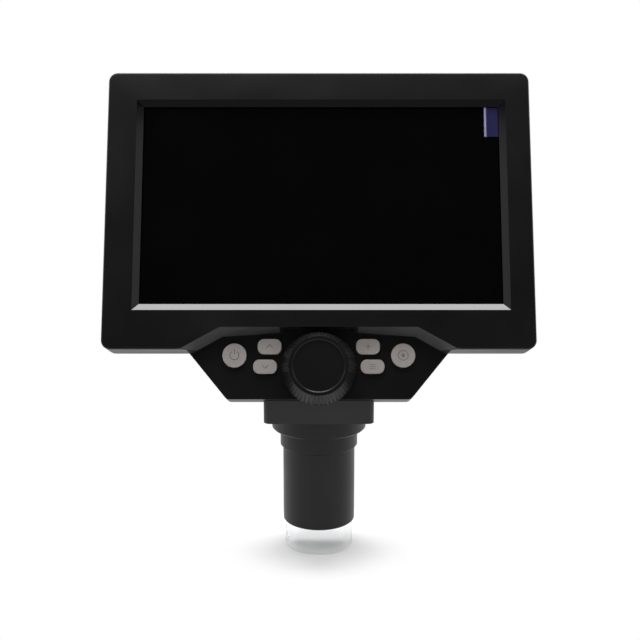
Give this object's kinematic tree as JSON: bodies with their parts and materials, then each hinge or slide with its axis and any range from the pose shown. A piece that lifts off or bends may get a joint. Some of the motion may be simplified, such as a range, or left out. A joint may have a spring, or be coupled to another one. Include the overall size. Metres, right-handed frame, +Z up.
{
  "type": "lcd digital microscope",
  "caption": "Microscope head with a large leaning screen, a knurled focus knob among push buttons, and an upright barrel that ends in a clear lamp tip.",
  "frame": {"origin": "centre of the clear tip's flat bottom", "axes": "+Z up along the barrel, -Y towards the viewer of the screen, +X to the viewer's right"},
  "size_m": [0.185, 0.0722, 0.2158],
  "materials": {
    "case_plastic": "fine moulded texture, black",
    "neck_plastic": "fine moulded texture, black",
    "black_anodised": "satin black anodised",
    "knob_plastic": "satin black, knurled flank",
    "button_plastic": "warm light grey, matt",
    "screen_black": "black glass of a switched off screen",
    "film_blue": "thin film with a dark blue tab",
    "foam_black": "closed cell foam",
    "steel": "plain steel",
    "black_steel": "black oxide screws",
    "brass": "turned brass",
    "inner_plastic": "plain black plastic",
    "circuit": "green solder mask",
    "chip_black": "moulded chip",
    "clear_plastic": "clear polished plastic",
    "lens_glass": "coated lens glass",
    "lamp_white": "white diode body",
    "battery_wrap": "foil pouch",
    "flex_amber": "amber flat cable"
  },
  "bodies": {
    "head": {"front_bezel": "case_plastic", "rear_cover": "case_plastic", "case_screws": "black_steel", "screen_gasket": "foam_black", "lcd_glass": "screen_black", "lcd_backlight": "steel", "screen_film": "film_blue", "tact_switches": "chip_black", "button_board": "circuit", "knob_bush": "brass", "neck_housing": "neck_plastic", "neck_screws": "black_steel", "shaft_bracket": "inner_plastic", "camera_bracket": "inner_plastic", "camera_board": "circuit", "image_sensor": "chip_black", "infrared_filter": "lens_glass", "barrel": "black_anodised", "barrel_collar": "black_anodised", "barrel_mount": "black_anodised", "mount_nut": "brass", "clear_tip": "clear_plastic", "lamp_board": "circuit", "lamp_leds": "lamp_white", "lamp_ribbon": "flex_amber", "main_board": "circuit", "board_chips": "chip_black", "usb_socket": "steel", "card_socket": "steel", "battery": "battery_wrap", "camera_flex": "flex_amber"},
    "knob": {"focus_knob": "knob_plastic", "knob_shaft": "steel", "shaft_clip": "steel", "focus_pinion": "brass"},
    "lens_unit": {"lens_carrier": "inner_plastic", "lens_front": "lens_glass", "lens_rear": "lens_glass", "lens_retainer": "brass"},
    "button_round_left": {"button_round_left": "button_plastic"},
    "button_round_right": {"button_round_right": "button_plastic"},
    "button_upper_left": {"button_upper_left": "button_plastic"},
    "button_upper_right": {"button_upper_right": "button_plastic"},
    "button_lower_left": {"button_lower_left": "button_plastic"},
    "button_lower_right": {"button_lower_right": "button_plastic"}
  },
  "joints": [
    {"name": "focus_turn", "type": "hinge", "parent": "head", "child": "knob", "pos_m": [0, -0.03066, 0.09281], "axis": [0, -0.9304, 0.3665], "range_deg": [-125, 125]},
    {"name": "focus_slide", "type": "slide", "parent": "head", "child": "lens_unit", "axis": [0, 0, 1], "range_m": [-0.00468, 0.00468]},
    {"name": "button_round_left_press", "type": "slide", "parent": "head", "child": "button_round_left", "axis": [0, 0.9304, -0.3665], "range_m": [0, 0.0004], "stiffness_N_per_m": 700},
    {"name": "button_round_right_press", "type": "slide", "parent": "head", "child": "button_round_right", "axis": [0, 0.9304, -0.3665], "range_m": [0, 0.0004], "stiffness_N_per_m": 700},
    {"name": "button_upper_left_press", "type": "slide", "parent": "head", "child": "button_upper_left", "axis": [0, 0.9304, -0.3665], "range_m": [0, 0.0004], "stiffness_N_per_m": 700},
    {"name": "button_upper_right_press", "type": "slide", "parent": "head", "child": "button_upper_right", "axis": [0, 0.9304, -0.3665], "range_m": [0, 0.0004], "stiffness_N_per_m": 700},
    {"name": "button_lower_left_press", "type": "slide", "parent": "head", "child": "button_lower_left", "axis": [0, 0.9304, -0.3665], "range_m": [0, 0.0004], "stiffness_N_per_m": 700},
    {"name": "button_lower_right_press", "type": "slide", "parent": "head", "child": "button_lower_right", "axis": [0, 0.9304, -0.3665], "range_m": [0, 0.0004], "stiffness_N_per_m": 700}
  ],
  "couplings": [
    {"joint": "focus_turn", "follows": "focus_slide", "rad_per_m": 465.21}
  ]
}
